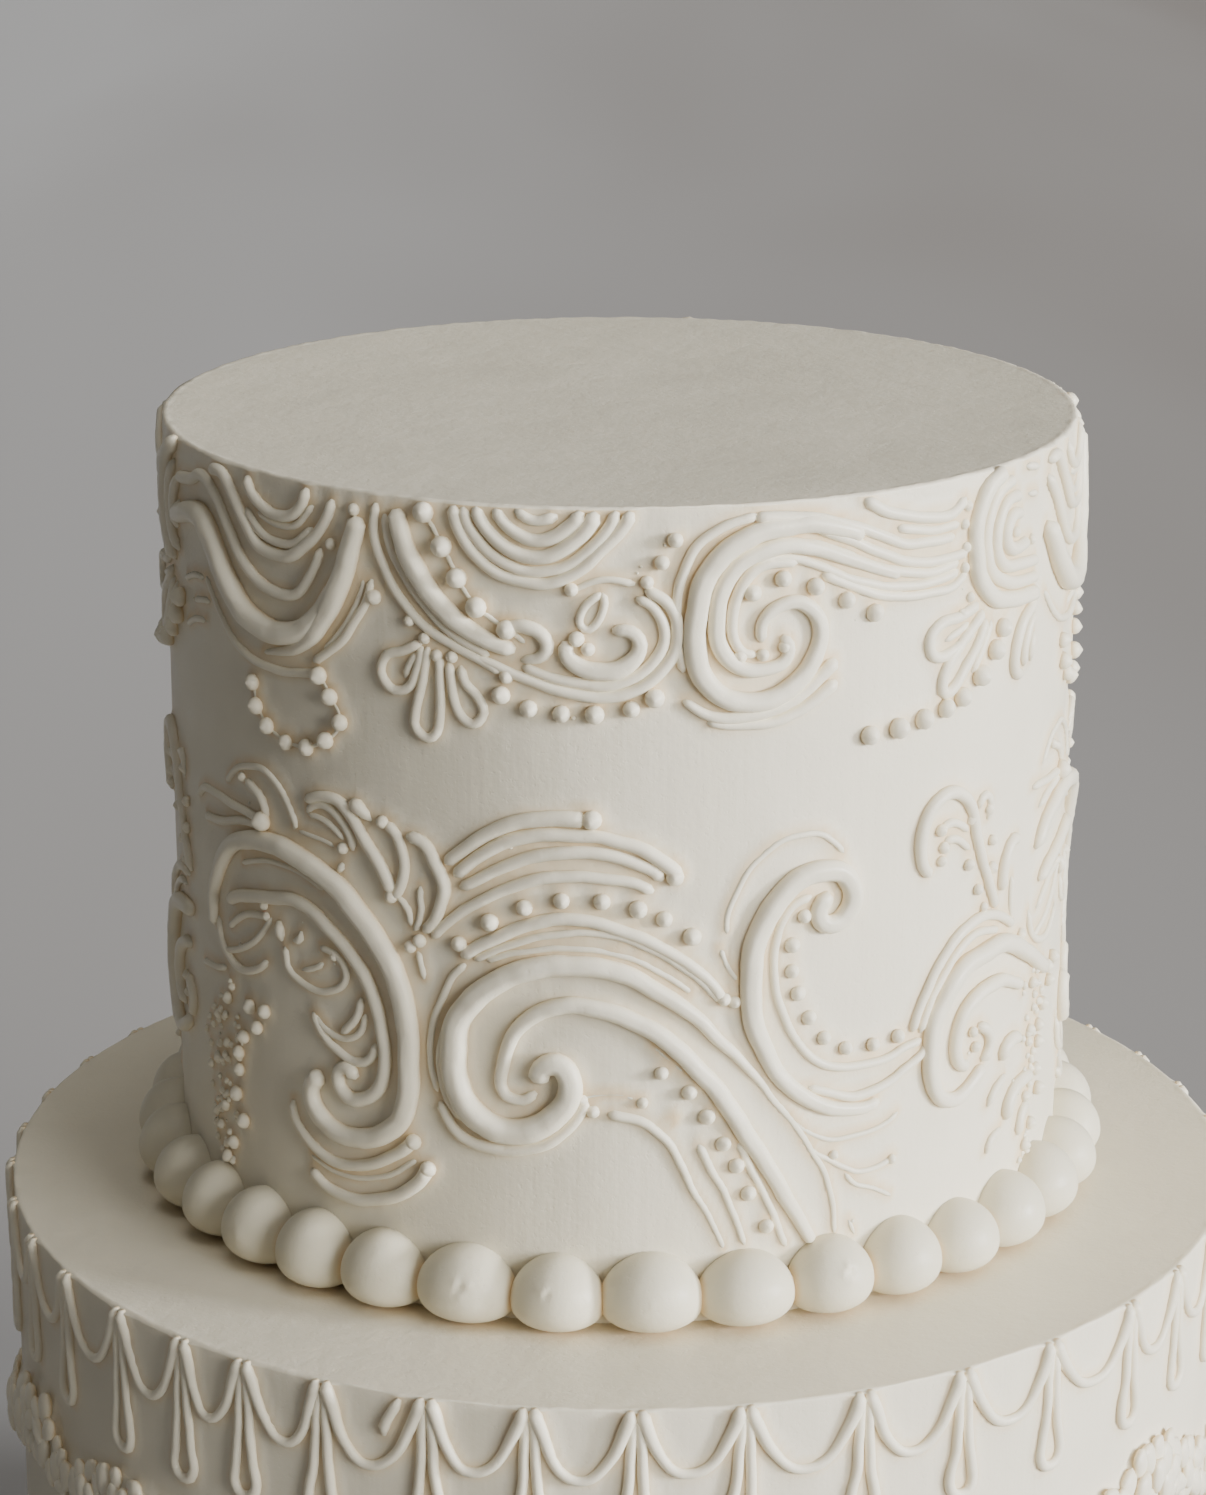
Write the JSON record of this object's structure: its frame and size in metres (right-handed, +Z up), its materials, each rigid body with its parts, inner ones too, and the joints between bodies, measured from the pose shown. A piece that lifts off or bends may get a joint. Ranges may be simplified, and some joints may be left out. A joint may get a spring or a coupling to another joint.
{
  "type": "wedding cake",
  "caption": "Two-tier round wedding cake in ivory buttercream, with piped rococo scrolls, bead strings, swags and drops under the lower rim, a garland and ball borders.",
  "frame": {"origin": "centre of the flat underside of the lower tier, where it stands on the table", "axes": "+Z is up along the cake's axis, -Y is the front that the picture shows, +X is to the right seen from the front"},
  "size_m": [0.2298, 0.2298, 0.266],
  "materials": {
    "icing_wall": "smooth satin buttercream",
    "icing_piped": "smooth satin piped buttercream"
  },
  "bodies": {
    "root": {"bottom_tier": "icing_wall", "top_tier": "icing_wall", "foot_border": "icing_piped", "ball_00": "icing_piped", "ball_01": "icing_piped", "ball_02": "icing_piped", "ball_03": "icing_piped", "ball_04": "icing_piped", "ball_05": "icing_piped", "ball_06": "icing_piped", "ball_07": "icing_piped", "ball_08": "icing_piped", "ball_09": "icing_piped", "ball_10": "icing_piped", "ball_11": "icing_piped", "ball_12": "icing_piped", "ball_13": "icing_piped", "ball_14": "icing_piped", "ball_15": "icing_piped", "ball_16": "icing_piped", "ball_17": "icing_piped", "ball_18": "icing_piped", "ball_19": "icing_piped", "ball_20": "icing_piped", "ball_21": "icing_piped", "ball_22": "icing_piped", "ball_23": "icing_piped", "ball_24": "icing_piped", "ball_25": "icing_piped", "ball_26": "icing_piped", "ball_27": "icing_piped", "ball_28": "icing_piped", "ball_29": "icing_piped", "ball_30": "icing_piped", "ball_31": "icing_piped", "ball_32": "icing_piped", "ball_33": "icing_piped", "ball_34": "icing_piped", "ball_35": "icing_piped"}
  },
  "joints": []
}
